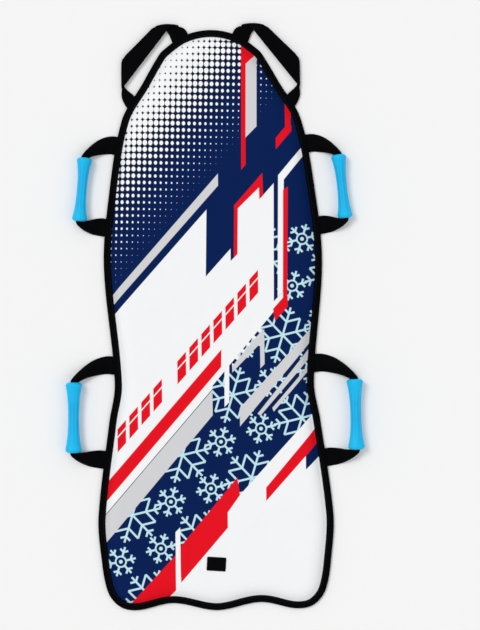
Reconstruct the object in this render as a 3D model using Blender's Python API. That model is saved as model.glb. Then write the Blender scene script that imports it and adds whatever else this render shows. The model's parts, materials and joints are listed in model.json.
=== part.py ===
"""Two-rider foam snow sled that folds in half across its middle, deck to deck.

The sled lies on its slick base with +Z up, its nose towards +Y and X across it. The origin is on
the ground, under the middle of the whole part, nose loops included. Lengths are in metres.
"""

from math import cos, pi, radians, sin

import bmesh
import bpy
from mathutils import Vector
from mathutils.geometry import interpolate_bezier

MM = 0.001

# Clearances
GAP = 0.3 * MM  # between pieces that lie on each other
GRIP_PLAY = 0.7 * MM  # round the curled webbing inside a grip
BEND_PLAY = 0.5 * MM  # between a sewn end and the webbing that swings next to it

# Board outline: pairs of half width and distance along the board
BOARD_LENGTH = 1220 * MM
NOSE_RADIUS = 140 * MM
NOSE_TURN = radians(46)  # how far the nose arc turns on each side
FROM_NOSE = [  # distance measured back from the tip of the nose
    (115 * MM, 62 * MM),
    (144 * MM, 112 * MM),
    (188 * MM, 188 * MM),
    (218 * MM, 352 * MM),
    (229.5 * MM, 495 * MM),
]
FROM_TAIL = [  # distance measured forward from the middle of the tail
    (209.5 * MM, 478 * MM),
    (222 * MM, 397 * MM),
    (247 * MM, 200 * MM),
    (243 * MM, 122 * MM),
    (229 * MM, 41 * MM),
    (203 * MM, 9 * MM),
    (166 * MM, 2 * MM),
    (92 * MM, 16 * MM),
    (0, 0),
]
OUTLINE_STEP = 36 * MM  # longest straight stretch of the outline

# Layers of the board, from the ground up
DECK_HEIGHT = 24 * MM
BASE_THICK = 1.0 * MM
SKIN_THICK = 0.8 * MM
WEBBING_THICK = 1.8 * MM  # also what the foam is squeezed to at its sewn edge
TAPE_THICK = 1.0 * MM
TAPE_GROUND = 0.4 * MM  # the tape's underside above the ground
TAPE_WIDTH = 15 * MM  # of each turned-over side
TAPE_CORNER = 1.5 * MM
EDGE_RUN = 1.0 * MM  # flat margin inboard of the tape
BASE_RISE_RUN = 10 * MM  # over which the base rises to the edge
CROWN_RUN = 30 * MM  # over which the deck swells to full height
CROWN_STEPS = 3

# Fold across the middle, and the hook patch that holds it shut
PATCH_WIDTH = 40 * MM
PATCH_LENGTH = 29 * MM
PATCH_THICK = 2.2 * MM
PATCH_TURN = radians(-4)
PATCH_FROM_TAIL = 99 * MM

# Webbing handles: anchors are where the webbing's middle crosses the board's edge
WEBBING_WIDTH = 38 * MM
SEWN_DEPTH = 14 * MM  # webbing held inside the edge
HANDLE_HINGE_OUT = 6 * MM  # bending line of the webbing, out from the edge
CURL_RADIUS = 6.4 * MM  # of the webbing's middle layer where it goes through a grip
CURL_POINTS = 4  # on each side of the webbing's middle
LEG_STEPS = 7
LEG_START = 0.25  # share of a leg's length that pulls it straight out from the edge
LEG_END = 0.33
FLAT_FOR = 0.25  # share of a leg over which its webbing stays flat
MOUTH_LEAD = 2 * MM  # straight webbing before a grip
MOUTH_RADIUS = 8.3 * MM  # of the turn into a grip
MOUTH_STEPS = 3
FRONT_UPPER_ANCHOR = 241 * MM  # from the tip of the nose
FRONT_LOWER_ANCHOR = 413 * MM
FRONT_REACH = 52 * MM  # from the bending line to the middle of the grip
FRONT_DROOP = 14 * MM  # of the grip towards the tail
FRONT_TURN = radians(2.6)
FRONT_SLANTS = (radians(35), radians(12))  # of the upper and lower leg where they near the grip
FRONT_GRIP_LENGTH = 134 * MM
FRONT_GRIP_END = 15.8 * MM  # radii
FRONT_GRIP_WAIST = 9.8 * MM
REAR_UPPER_ANCHOR = 517 * MM  # from the middle of the tail
REAR_LOWER_ANCHOR = 319 * MM
REAR_REACH = 66 * MM
REAR_DROOP = 17 * MM
REAR_TURN = radians(5.3)
REAR_SLANTS = (radians(32), radians(15))
REAR_GRIP_LENGTH = 148 * MM
REAR_GRIP_END = 17.5 * MM
REAR_GRIP_WAIST = 10.8 * MM
GRIP_DOME = 6.5 * MM  # height of a grip's domed ends
DOME_STEPS = 3
GRIP_STEPS = 8
GRIP_SIDES = 16

# Nose loops: flat webbing with two mitre folds
LOOP_WIDTH = 32 * MM
LOOP_LEAN = radians(49.7)  # of the webbing from straight across
LOOP_OVERHANG = 13.5 * MM  # beyond the tip of the nose
LOOP_TOP_OUT = 96 * MM  # middle of the front fold, from the sled's centre line
LOOP_SIDE_OUT = 190 * MM  # outer side of the side fold
LOOP_HINGE_OUT = 10 * MM
FOLD_RADIUS = 2.5 * MM
FOLD_STEPS = 4

# Heights that follow from the layers
TAPE_TOP = TAPE_GROUND + TAPE_THICK
BASE_LIFT = TAPE_TOP + GAP
CORE_EDGE = BASE_LIFT + BASE_THICK + GAP
WEBBING_MIDDLE = CORE_EDGE + WEBBING_THICK / 2
SKIN_EDGE = CORE_EDGE + WEBBING_THICK + GAP
TAPE_UPPER = SKIN_EDGE + SKIN_THICK + GAP
CORE_CROWN = DECK_HEIGHT - SKIN_THICK - GAP
LAYER_INSET = TAPE_THICK + GAP
FLAT_INSET = TAPE_WIDTH + EDGE_RUN

# Places along the sled: the origin is under the middle of the whole length
NOSE_Y = (BOARD_LENGTH - LOOP_OVERHANG) / 2
TAIL_Y = NOSE_Y - BOARD_LENGTH
FOLD_Y = (NOSE_Y + TAIL_Y) / 2
FOLD_Z = DECK_HEIGHT + (PATCH_THICK + 2 * GAP) / 2


def clear_scene():
    for item in list(bpy.data.objects):
        bpy.data.objects.remove(item, do_unlink=True)


def material(name, color, roughness, metallic=0.0):
    made = bpy.data.materials.new(name)
    made.use_nodes = True
    shader = made.node_tree.nodes["Principled BSDF"]
    shader.inputs["Base Color"].default_value = (*color, 1.0)
    shader.inputs["Roughness"].default_value = roughness
    shader.inputs["Metallic"].default_value = metallic
    return made


def empty(name, place, parent=None):
    made = bpy.data.objects.new(name, None)
    made.location = place - (parent.matrix_world.translation if parent else Vector())
    made.parent = parent
    made.empty_display_size = 0.05
    bpy.context.scene.collection.objects.link(made)
    bpy.context.view_layer.update()
    return made


def solid(name, mesh, look, parent=None):
    """An object from a mesh that is built in place. Its origin is its parent's."""
    origin = parent.matrix_world.translation if parent else Vector()
    bmesh.ops.translate(mesh, verts=mesh.verts, vec=-origin)
    data = bpy.data.meshes.new(name)
    mesh.to_mesh(data)
    mesh.free()
    data.materials.append(look)
    made = bpy.data.objects.new(name, data)
    made.parent = parent
    bpy.context.scene.collection.objects.link(made)
    bpy.context.view_layer.update()
    return made


def loft(rings, closed=False):
    """A closed body through rings of points. It has flat ends, or joins its last ring to its first."""
    mesh = bmesh.new()
    loops = [[mesh.verts.new(point) for point in ring] for ring in rings]
    count = len(loops[0])
    following = loops[1:] + loops[:1] if closed else loops[1:]
    for here, there in zip(loops, following):
        for i in range(count):
            j = (i + 1) % count
            mesh.faces.new((here[i], here[j], there[j], there[i]))
    if not closed:
        mesh.faces.new(loops[0])
        mesh.faces.new(loops[-1])
    bmesh.ops.recalc_face_normals(mesh, faces=mesh.faces)
    return mesh


def on_side(rings, side):
    """The rings as they are for side 1, the right, or mirrored for side -1, the left."""
    return [[Vector((side * p.x, p.y, p.z)) for p in ring] for ring in rings]


def smooth(t):
    return t * t * (3 - 2 * t)


def solve(value, low, high):
    """Where a straight-line function of one number is zero."""
    start, end = value(low), value(high)
    return low - start * (high - low) / (end - start)


def outline():
    """The board's outline as a closed loop of points, and its right-hand half from nose to tail."""
    arc = [NOSE_TURN * share for share in (0, 0.5, 1)]
    half = [(NOSE_RADIUS * sin(a), NOSE_Y - NOSE_RADIUS * (1 - cos(a))) for a in arc]
    half += [(width, NOSE_Y - back) for width, back in FROM_NOSE]
    half += [(width, TAIL_Y + up) for width, up in FROM_TAIL]
    key = [Vector((x, y, 0)) for x, y in half]
    key += [Vector((-x, y, 0)) for x, y in reversed(half[1:-1])]
    count = len(key)
    loop = []
    for i in range(count):
        before, here, there, after = (key[(i + k) % count] for k in (-1, 0, 1, 2))
        run = (there - here).length
        leave = (there - before) * run / ((there - here).length + (here - before).length)
        arrive = (after - here) * run / ((after - there).length + run)
        steps = max(1, round(run / OUTLINE_STEP + 0.5))
        curve = interpolate_bezier(here, here + leave / 3, there - arrive / 3, there, steps + 1)
        loop += curve[:-1]
        if i == len(half) - 2:
            right = loop + [there]
    return loop, right


LOOP, RIGHT_SIDE = outline()


def inset(distance, height):
    """The outline moved inwards, at a height."""
    count = len(LOOP)
    ring = []
    for i, point in enumerate(LOOP):
        along = (LOOP[(i + 1) % count] - LOOP[i - 1]).normalized()
        inward = Vector((along.y, -along.x, 0))
        ring.append(point + inward * distance + Vector((0, 0, height)))
    return ring


def edge_at(y):
    """The point of the right-hand edge at y, and the edge's direction there, towards the tail."""
    for here, there in zip(RIGHT_SIDE, RIGHT_SIDE[1:]):
        if here.y >= y > there.y:
            share = (here.y - y) / (here.y - there.y)
            return here.lerp(there, share), (there - here).normalized()
    raise ValueError("no edge there")


def half_of(mesh, front):
    """Cuts a board-wide mesh at the fold and keeps its front or rear half."""
    away = 1 if front else -1
    cut = bmesh.ops.bisect_plane(
        mesh,
        geom=mesh.verts[:] + mesh.edges[:] + mesh.faces[:],
        plane_co=(0, FOLD_Y + away * GAP / 2, 0),
        plane_no=(0, away, 0),
        clear_inner=True,
    )
    edges = [item for item in cut["geom_cut"] if isinstance(item, bmesh.types.BMEdge)]
    bmesh.ops.edgeloop_fill(mesh, edges=edges)
    bmesh.ops.recalc_face_normals(mesh, faces=mesh.faces)
    return mesh


def crown(edge_height, full_height):
    """Rings over the flat margin and up the swelling edge of the deck."""
    rings = [inset(LAYER_INSET, edge_height), inset(FLAT_INSET, edge_height)]
    for step in range(1, CROWN_STEPS + 1):
        share = step / CROWN_STEPS
        height = edge_height + (full_height - edge_height) * (1 - (1 - share) ** 2)
        rings.append(inset(FLAT_INSET + CROWN_RUN * share, height))
    return rings


def underside(height):
    """Rings from the flat bottom out to the lifted edge."""
    return [
        inset(FLAT_INSET + BASE_RISE_RUN, height),
        inset(FLAT_INSET, height + BASE_LIFT),
        inset(LAYER_INSET, height + BASE_LIFT),
    ]


def base_sheet():
    return loft(underside(0) + underside(BASE_THICK)[::-1])


def foam_core():
    return loft(underside(BASE_THICK + GAP) + crown(CORE_EDGE + WEBBING_THICK, CORE_CROWN))


def deck_skin():
    under = crown(SKIN_EDGE, CORE_CROWN + GAP)
    over = crown(SKIN_EDGE + SKIN_THICK, DECK_HEIGHT)
    return loft(under[::-1] + over)


def edge_tape():
    """The sewn tape, a C round the edge."""
    top = TAPE_UPPER + TAPE_THICK
    section = [
        (TAPE_WIDTH, TAPE_GROUND),
        (TAPE_CORNER, TAPE_GROUND),
        (0, TAPE_GROUND + TAPE_CORNER),
        (0, top - TAPE_CORNER),
        (TAPE_CORNER, top),
        (TAPE_WIDTH, top),
        (TAPE_WIDTH, TAPE_UPPER),
        (TAPE_THICK, TAPE_UPPER),
        (TAPE_THICK, TAPE_TOP),
        (TAPE_WIDTH, TAPE_TOP),
    ]
    return loft([inset(distance, height) for distance, height in section], closed=True)


class Handle:
    """A right-hand webbing handle. Its own directions are out from the edge, up towards the nose."""

    def __init__(self, upper_y, lower_y, reach, droop, turn, slants, grip):
        upper, lower = edge_at(upper_y)[0], edge_at(lower_y)[0]
        self.up = (upper - lower).normalized()
        self.out = Vector((self.up.y, -self.up.x, 0))
        self.anchors = (upper, lower)
        self.half_span = (upper - lower).length / 2
        self.pivot = (upper + lower) / 2 + self.out * HANDLE_HINGE_OUT
        self.pivot.z = WEBBING_MIDDLE
        self.slants = slants
        self.grip_length, self.grip_end, self.grip_waist = grip
        self.grip_axis = (self.out * sin(turn) + self.up * cos(turn)).normalized()
        self.grip_middle = self.pivot + self.out * reach - self.up * droop
        self.grip_middle.z = self.grip_end

    def leg(self, way):
        """One leg from the bending line to the grip, as places, headings and bends of the webbing."""
        start = self.pivot + self.up * way * self.half_span
        mouth = self.grip_middle + self.grip_axis * way * (self.grip_length / 2 + MOUTH_LEAD)
        outboard = Vector((self.grip_axis.y, -self.grip_axis.x, 0))
        into = self.grip_axis * -way
        begin, finish = start.to_2d().to_3d(), mouth.to_2d().to_3d()
        slant = self.slants[0] if way > 0 else self.slants[1]
        turn = []
        for step in range(MOUTH_STEPS + 1):
            angle = slant + (pi / 2 - slant) * step / MOUTH_STEPS
            spoke = outboard * (sin(angle) - 1) - into * cos(angle)
            heading = outboard * cos(angle) + into * sin(angle)
            turn.append((finish + spoke * MOUTH_RADIUS, heading))
        end, arrival = turn[0]
        length = (end - begin).length
        line = interpolate_bezier(
            begin,
            begin + self.out * length * LEG_START,
            end - arrival * length * LEG_END,
            end,
            LEG_STEPS + 1,
        )
        top = self.grip_end + CURL_RADIUS
        found = []
        for i in range(LEG_STEPS):
            heading = (line[i + 1] - line[i - 1]).normalized() if i else self.out
            share = i / LEG_STEPS
            height = start.z + (top - start.z) * smooth(share)
            curl = smooth(max(0, share - FLAT_FOR) / (1 - FLAT_FOR))
            found.append((line[i] + Vector((0, 0, height)), heading, curl / CURL_RADIUS))
        for place, heading in turn:
            found.append((place + Vector((0, 0, top)), heading, 1 / CURL_RADIUS))
        return found

    def strap(self):
        """Sections of the webbing from its upper bending line, through the grip, to its lower one."""
        upper, lower = self.leg(1), self.leg(-1)
        path = upper + [(point, -heading, bend) for point, heading, bend in reversed(lower)]
        rings = [webbing_section(*item) for item in path]
        first = [webbing_section(*upper[0], *rounded) for rounded in ROUNDED_END]
        last = [webbing_section(lower[0][0], -self.out, 0, -d, s) for d, s in ROUNDED_END]
        return first + rings + last[::-1]

    def grip(self):
        """The hourglass grip, turned about the webbing through its bore."""
        bore = CURL_RADIUS + WEBBING_THICK / 2 + GRIP_PLAY
        half = self.grip_length / 2
        flare = self.grip_end - self.grip_waist
        profile = []
        for step in range(GRIP_STEPS + 1):
            share = 2 * step / GRIP_STEPS - 1
            radius = self.grip_waist + flare * abs(share) ** 2.4
            profile.append((share * (half - GRIP_DOME), radius))
        dome = []
        for step in range(1, DOME_STEPS + 1):
            angle = pi / 2 * step / DOME_STEPS
            radius = bore + (self.grip_end - bore) * cos(angle)
            dome.append((half - GRIP_DOME * (1 - sin(angle)), radius))
        profile = [(-along, radius) for along, radius in reversed(dome)] + profile + dome
        across = self.grip_axis.cross(Vector((0, 0, 1)))
        rings = []
        for along, radius in profile:
            ring = []
            for k in range(GRIP_SIDES):
                angle = 2 * pi * k / GRIP_SIDES
                spoke = across * sin(angle) - Vector((0, 0, 1)) * cos(angle)
                ring.append(self.grip_middle + self.grip_axis * along + spoke * radius)
            rings.append(ring)
        return rings


ROUNDED_END = [
    (-sin(radians(turn)) * WEBBING_THICK / 2, cos(radians(turn))) for turn in (80, 45)
]


def webbing_section(place, heading, bend, ahead=0.0, share=1.0):
    """A cross-section of the handle webbing, curled about its middle line by the given bend."""
    across = Vector((heading.y, -heading.x, 0)).normalized()
    upper, lower = [], []
    for k in range(-CURL_POINTS, CURL_POINTS + 1):
        run = k / CURL_POINTS * WEBBING_WIDTH / 2
        turn = run * bend
        aside = sin(turn) / bend if bend else run
        drop = (1 - cos(turn)) / bend if bend else 0.0
        middle = place + heading * ahead + across * aside - Vector((0, 0, drop))
        normal = across * sin(turn) + Vector((0, 0, cos(turn)))
        upper.append(middle + normal * share * WEBBING_THICK / 2)
        lower.append(middle - normal * share * WEBBING_THICK / 2)
    return upper + lower[::-1]


def sewn_end(anchor, edge_way, heading, width, line_point, line_way, spare=0.0):
    """The webbing sewn inside the edge, from its depth out to the bending line.

    With spare it is the room that the webbing needs, which is cut from the foam and the tape.
    """
    across = Vector((-heading.y, heading.x, 0))
    inward = Vector((edge_way.y, -edge_way.x, 0))
    line_out = Vector((line_way.y, -line_way.x, 0))
    if inward.dot(heading) > 0:
        inward.negate()
    if line_out.dot(heading) < 0:
        line_out.negate()
    centre = WEBBING_THICK + BEND_PLAY
    ends = [(centre, 1.0)] + [(centre + ahead, share) for ahead, share in ROUNDED_END[::-1]]
    planes = [(anchor + inward * (SEWN_DEPTH + spare), inward, 1.0)]
    for back, share in [(0.0, 1.0)] if spare else ends:
        planes.append((line_point - line_out * back, line_out, share))
    rings = []
    for place, normal, share in planes:
        half = share * WEBBING_THICK / 2 + spare
        sides = []
        for side in (-1, 1):
            start = anchor + across * side * (width / 2 + spare)
            run = solve(lambda s: (start + heading * s - place).dot(normal), 0, 10 * MM)
            sides.append(start + heading * run)
        corners = zip((sides[0], sides[1], sides[1], sides[0]), (-half, -half, half, half))
        rings.append([Vector((p.x, p.y, WEBBING_MIDDLE + level)) for p, level in corners])
    return rings


class NoseLoop:
    """The right-hand nose loop: a leg, a mitre fold, a slanting run, a fold and a second leg."""

    def __init__(self):
        half = WEBBING_THICK / 2
        self.along = Vector((cos(LOOP_LEAN), -sin(LOOP_LEAN), 0))
        self.across = Vector((sin(LOOP_LEAN), cos(LOOP_LEAN), 0))
        self.front = NOSE_Y + LOOP_OVERHANG - FOLD_RADIUS - half
        self.side = LOOP_SIDE_OUT - FOLD_RADIUS - half
        self.start = Vector((LOOP_TOP_OUT, self.front, WEBBING_MIDDLE + 2 * FOLD_RADIUS))
        run = (self.side - self.start.x) / self.along.x
        self.heading = Vector((cos(LOOP_LEAN), sin(LOOP_LEAN), 0))
        self.inner = self.meet_edge(self.start)
        self.outer = self.meet_edge(self.start + self.along * run)
        chord = self.outer[0] - self.inner[0]
        self.line_way = chord.normalized()
        self.line_out = Vector((-self.line_way.y, self.line_way.x, 0))
        self.pivot = (self.inner[0] + self.outer[0]) / 2 + self.line_out * LOOP_HINGE_OUT
        self.pivot.z = WEBBING_MIDDLE

    def meet_edge(self, place):
        """Where a leg that runs back from a place crosses the edge, and the edge's direction."""
        for here, there in zip(RIGHT_SIDE, RIGHT_SIDE[1:]):
            normal = Vector((-self.heading.y, self.heading.x, 0))
            low, high = ((p - place).dot(normal) for p in (here, there))
            if low * high <= 0 and there.y < self.front:
                return here.lerp(there, low / (low - high)), (there - here).normalized()
        raise ValueError("the leg misses the edge")

    def folded(self, point):
        """Where a point of the unfolded strip lies, and the strip's upward normal there."""
        place, normal = point.copy(), Vector((0, 0, 1))
        for axis, line in ((1, self.front), (0, self.side)):
            past = point[axis] - line
            if past <= 0:
                continue
            turn = min(past / FOLD_RADIUS, pi)
            over = past - turn * FOLD_RADIUS
            place[axis] = line + FOLD_RADIUS * sin(turn) - over
            place.z -= FOLD_RADIUS * (1 - cos(turn))
            normal = Vector((0, 0, cos(turn)))
            normal[axis] = sin(turn)
        return place, normal

    def strip(self, along, across):
        return self.start + self.along * along + self.across * across

    def to_line(self, target, across, low, high):
        """The place along the strip whose folded point lies at a distance out from the line."""
        return solve(
            lambda s: (self.folded(self.strip(s, across))[0] - self.pivot).dot(self.line_out)
            - target,
            low,
            high,
        )

    def stations(self, across):
        """Places along the strip at one distance across it, with a share of its thickness."""
        bends = [pi * FOLD_RADIUS * step / FOLD_STEPS for step in range(FOLD_STEPS + 1)]
        first = [(across * self.across.y - past) / -self.along.y for past in bends]
        offset = self.side - self.start.x - across * self.across.x
        last = [(offset + past) / self.along.x for past in bends]
        ends = [(distance, share) for distance, share in ROUNDED_END] + [(0.0, 1.0)]
        far = 5 * MM
        lead = [(self.to_line(d, across, first[-1] - 2 * far, first[-1] - far), s) for d, s in ends]
        tail = [(self.to_line(d, across, last[-1] + far, last[-1] + 2 * far), s) for d, s in ends]
        middle = [(s, 1.0) for s in first[::-1] + last]
        return lead + middle + tail[::-1]

    def rings(self):
        half = LOOP_WIDTH / 2
        lanes = [(side * half, self.stations(side * half)) for side in (-1, 1)]
        found = []
        for left, right in zip(lanes[0][1], lanes[1][1]):
            upper, lower = [], []
            for across, (along, share) in zip((-half, half), (left, right)):
                place, normal = self.folded(self.strip(along, across))
                upper.append(place + normal * share * WEBBING_THICK / 2)
                lower.append(place - normal * share * WEBBING_THICK / 2)
            found.append(upper + lower[::-1])
        return found


def slots(name, ends):
    """Cutters for the webbing that passes through the tape and the edge of the foam."""
    group = bpy.data.collections.new(name)
    bpy.context.scene.collection.children.link(group)
    for index, rings in enumerate(ends):
        mesh = loft(rings)
        data = bpy.data.meshes.new(name)
        mesh.to_mesh(data)
        mesh.free()
        cutter = bpy.data.objects.new(f"{name}_{index}", data)
        cutter.hide_render = True
        cutter.display_type = "WIRE"
        group.objects.link(cutter)
    return group


def cut(target, group):
    modifier = target.modifiers.new("webbing_slots", "BOOLEAN")
    modifier.operand_type = "COLLECTION"
    modifier.collection = group
    modifier.operation = "DIFFERENCE"
    modifier.solver = "EXACT"


def build():
    clear_scene()
    foam = material("foam", (0.05, 0.05, 0.055), 0.9)
    print_cloth = material("printed_deck", (0.85, 0.86, 0.88), 0.7)
    slick = material("slick_base", (0.012, 0.012, 0.014), 0.22)
    tape = material("edge_tape", (0.008, 0.008, 0.009), 0.85)
    webbing = material("webbing", (0.01, 0.01, 0.011), 0.8)
    grip_look = material("grip", (0.03, 0.55, 0.86), 0.5)
    hook = material("hook_patch", (0.006, 0.006, 0.007), 0.95)

    hinge = empty("fold_axis", Vector((0, FOLD_Y, FOLD_Z)))
    handles = {
        "front": Handle(
            NOSE_Y - FRONT_UPPER_ANCHOR,
            NOSE_Y - FRONT_LOWER_ANCHOR,
            FRONT_REACH,
            FRONT_DROOP,
            FRONT_TURN,
            FRONT_SLANTS,
            (FRONT_GRIP_LENGTH, FRONT_GRIP_END, FRONT_GRIP_WAIST),
        ),
        "rear": Handle(
            TAIL_Y + REAR_UPPER_ANCHOR,
            TAIL_Y + REAR_LOWER_ANCHOR,
            REAR_REACH,
            REAR_DROOP,
            REAR_TURN,
            REAR_SLANTS,
            (REAR_GRIP_LENGTH, REAR_GRIP_END, REAR_GRIP_WAIST),
        ),
    }
    loop = NoseLoop()
    rooms = {"front": [], "rear": []}
    owners = {"front": hinge, "rear": None}

    for half, handle in handles.items():
        for side, side_name in ((-1, "left"), (1, "right")):
            name = f"{half}_{side_name}"
            pivot = Vector((side * handle.pivot.x, handle.pivot.y, handle.pivot.z))
            axis = empty(f"handle_axis_{name}", pivot, owners[half])
            solid(f"handle_strap_{name}", loft(on_side(handle.strap(), side)), webbing, axis)
            middle = handle.grip_middle
            place = Vector((side * middle.x, middle.y, middle.z))
            spin = empty(f"grip_axis_{name}", place, axis)
            solid(f"grip_{name}", loft(on_side(handle.grip(), side), closed=True), grip_look, spin)
            for anchor, which in zip(handle.anchors, ("upper", "lower")):
                edge_way = edge_at(anchor.y)[1]
                hold = (anchor, edge_way, handle.out, WEBBING_WIDTH, handle.pivot, handle.up)
                piece = loft(on_side(sewn_end(*hold), side))
                solid(f"webbing_end_{name}_{which}", piece, webbing, owners[half])
                rooms[half].append(on_side(sewn_end(*hold, spare=GAP), side))

    for side, side_name in ((-1, "left"), (1, "right")):
        pivot = Vector((side * loop.pivot.x, loop.pivot.y, loop.pivot.z))
        axis = empty(f"loop_axis_{side_name}", pivot, hinge)
        solid(f"nose_loop_{side_name}", loft(on_side(loop.rings(), side)), webbing, axis)
        for (anchor, edge_way), which in ((loop.inner, "inner"), (loop.outer, "outer")):
            hold = (anchor, edge_way, loop.heading, LOOP_WIDTH, loop.pivot, loop.line_way)
            piece = loft(on_side(sewn_end(*hold), side))
            solid(f"loop_end_{side_name}_{which}", piece, webbing, hinge)
            rooms["front"].append(on_side(sewn_end(*hold, spare=GAP), side))

    for half, owner in owners.items():
        front = half == "front"
        group = slots(f"slots_{half}", rooms[half])
        solid(f"base_sheet_{half}", half_of(base_sheet(), front), slick, owner)
        core = solid(f"foam_core_{half}", half_of(foam_core(), front), foam, owner)
        solid(f"deck_skin_{half}", half_of(deck_skin(), front), print_cloth, owner)
        binding = solid(f"edge_tape_{half}", half_of(edge_tape(), front), tape, owner)
        cut(core, group)
        cut(binding, group)

    turn_x, turn_y = cos(PATCH_TURN), sin(PATCH_TURN)
    corners = []
    for x, y in ((-0.5, -0.5), (0.5, -0.5), (0.5, 0.5), (-0.5, 0.5)):
        across, along = x * PATCH_WIDTH, y * PATCH_LENGTH
        corners.append((across * turn_x - along * turn_y, across * turn_y + along * turn_x))
    middle_y = TAIL_Y + PATCH_FROM_TAIL
    low = DECK_HEIGHT + GAP
    rings = [
        [Vector((x, middle_y + y, height)) for x, y in corners]
        for height in (low, low + PATCH_THICK)
    ]
    solid("hook_patch", loft(rings), hook)


build()
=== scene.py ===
"""Looks of the foam snow sled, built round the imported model. Lengths are in metres."""

import json
from functools import partialmethod, reduce
from math import atan2, cos, hypot, pi, radians, sin, sqrt

import bmesh
import bpy
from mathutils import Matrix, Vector, noise
from mathutils.geometry import delaunay_2d_cdt, interpolate_bezier
from mathutils.kdtree import KDTree


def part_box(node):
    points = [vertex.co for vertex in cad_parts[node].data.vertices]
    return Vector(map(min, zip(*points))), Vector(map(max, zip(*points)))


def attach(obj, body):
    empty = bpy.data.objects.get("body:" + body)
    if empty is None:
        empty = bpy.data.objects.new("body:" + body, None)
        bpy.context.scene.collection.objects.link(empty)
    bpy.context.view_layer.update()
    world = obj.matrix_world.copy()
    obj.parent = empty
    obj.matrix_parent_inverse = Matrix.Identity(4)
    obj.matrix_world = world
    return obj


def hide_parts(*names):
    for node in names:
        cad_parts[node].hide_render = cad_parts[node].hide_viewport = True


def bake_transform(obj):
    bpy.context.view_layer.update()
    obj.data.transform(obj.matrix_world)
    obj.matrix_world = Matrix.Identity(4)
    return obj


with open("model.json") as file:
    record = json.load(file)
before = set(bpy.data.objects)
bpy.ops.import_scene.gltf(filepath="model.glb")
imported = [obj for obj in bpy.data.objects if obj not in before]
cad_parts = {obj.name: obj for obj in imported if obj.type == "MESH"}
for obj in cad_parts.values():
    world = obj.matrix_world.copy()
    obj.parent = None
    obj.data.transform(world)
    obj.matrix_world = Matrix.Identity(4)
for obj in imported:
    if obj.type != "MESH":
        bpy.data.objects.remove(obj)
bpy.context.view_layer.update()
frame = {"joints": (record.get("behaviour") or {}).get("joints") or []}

MM = 0.001
UP = Vector((0, 0, 1))

# The board, as in the CAD source; outline points are half widths and distances in millimetres
BOARD_LENGTH = 1220 * MM
NOSE_RADIUS = 140 * MM
NOSE_TURN = radians(46)
FROM_NOSE = [(115, 62), (144, 112), (188, 188), (218, 352), (229.5, 495)]
FROM_TAIL = [(209.5, 478), (222, 397), (247, 200), (243, 122), (229, 41)]
FROM_TAIL += [(203, 9), (166, 2), (92, 16), (0, 0)]
OUTLINE_STEP = 7 * MM
DECK_HEIGHT = 24 * MM
SKIN_EDGE = 5.9 * MM  # top of the printed cloth where it goes under the tape
CORE_UNDER = 1.3 * MM
EDGE_UNDER = 3.0 * MM
BASE_THICK = 1.0 * MM
BASE_LIFT = 1.7 * MM  # of the base at the sewn edge
LAYER_INSET = 1.3 * MM
FLAT_INSET = 16 * MM
CROWN_RUN = 30 * MM
BASE_RISE_RUN = 10 * MM
PAD_RINGS = [  # inset and height of the pad's rim, from the cloth's edge round and under it
    (LAYER_INSET + 3 * MM, SKIN_EDGE),
    (LAYER_INSET, SKIN_EDGE - 1 * MM),
    (LAYER_INSET, EDGE_UNDER),
    (FLAT_INSET, EDGE_UNDER),
    (FLAT_INSET + BASE_RISE_RUN, CORE_UNDER),
]
BASE_RISE = [(1.0, 0.0), (0.66, 0.18), (0.33, 0.82), (0.0, 1.0)]  # shares of run and lift
NOSE_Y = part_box("edge_tape_front")[1].y
TAIL_Y = NOSE_Y - BOARD_LENGTH
FOLD_Y = (NOSE_Y + TAIL_Y) / 2
FOLD_REACH = 8 * MM  # half of the stretch that bends when the sled folds
FOLD_ROWS = 24
DECK_GRID = 8 * MM
DECK_HALF = 250 * MM
RIM_ROWS = [4 * MM, 8 * MM, 12 * MM, 17 * MM, 23 * MM]

JOINTS = {joint["name"]: joint for joint in frame["joints"]}


# Outline of the board


def smooth_run(before, here, there, after, steps):
    """Points of a smooth curve from here up to but not at there, between two further points."""
    run = (there - here).length
    leave = (there - before) * run / (run + (here - before).length)
    arrive = (after - here) * run / ((after - there).length + run)
    return interpolate_bezier(here, here + leave / 3, there - arrive / 3, there, steps + 1)[:-1]


def lengths(points, closed=False):
    """Distances along a line of points from its first."""
    found = [0.0]
    following = points[1:] + points[:1] if closed else points[1:]
    for here, there in zip(points, following):
        found.append(found[-1] + (there - here).length)
    return found


def outline():
    """The outline as a closed loop of points, and its right-hand half from nose to tail."""
    arc = [NOSE_TURN * share for share in (0, 0.5, 1)]
    half = [(NOSE_RADIUS * sin(a), NOSE_Y - NOSE_RADIUS * (1 - cos(a))) for a in arc]
    half += [(width * MM, NOSE_Y - back * MM) for width, back in FROM_NOSE]
    half += [(width * MM, TAIL_Y + up * MM) for width, up in FROM_TAIL]
    key = [Vector((x, y, 0)) for x, y in half]
    key += [Vector((-x, y, 0)) for x, y in reversed(half[1:-1])]
    count = len(key)
    loop = []
    for i in range(count):
        before, here, there, after = (key[(i + k) % count] for k in (-1, 0, 1, 2))
        steps = max(1, round((there - here).length / OUTLINE_STEP + 0.5))
        loop += smooth_run(before, here, there, after, steps)
        if i == len(half) - 2:
            right = loop + [there]
    return loop, right


LOOP, RIGHT_SIDE = outline()
ONWARD = [(LOOP[i + 1 - len(LOOP)] - LOOP[i - 1]).normalized() for i in range(len(LOOP))]
INWARD = [Vector((way.y, -way.x, 0)) for way in ONWARD]
ALONG = lengths(LOOP, closed=True)  # distance round the outline
NEAREST = KDTree(len(LOOP))
for index, point in enumerate(LOOP):
    NEAREST.insert(point, index)
NEAREST.balance()


def inset(distance, height):
    return [p + n * distance + UP * height for p, n in zip(LOOP, INWARD)]


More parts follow.
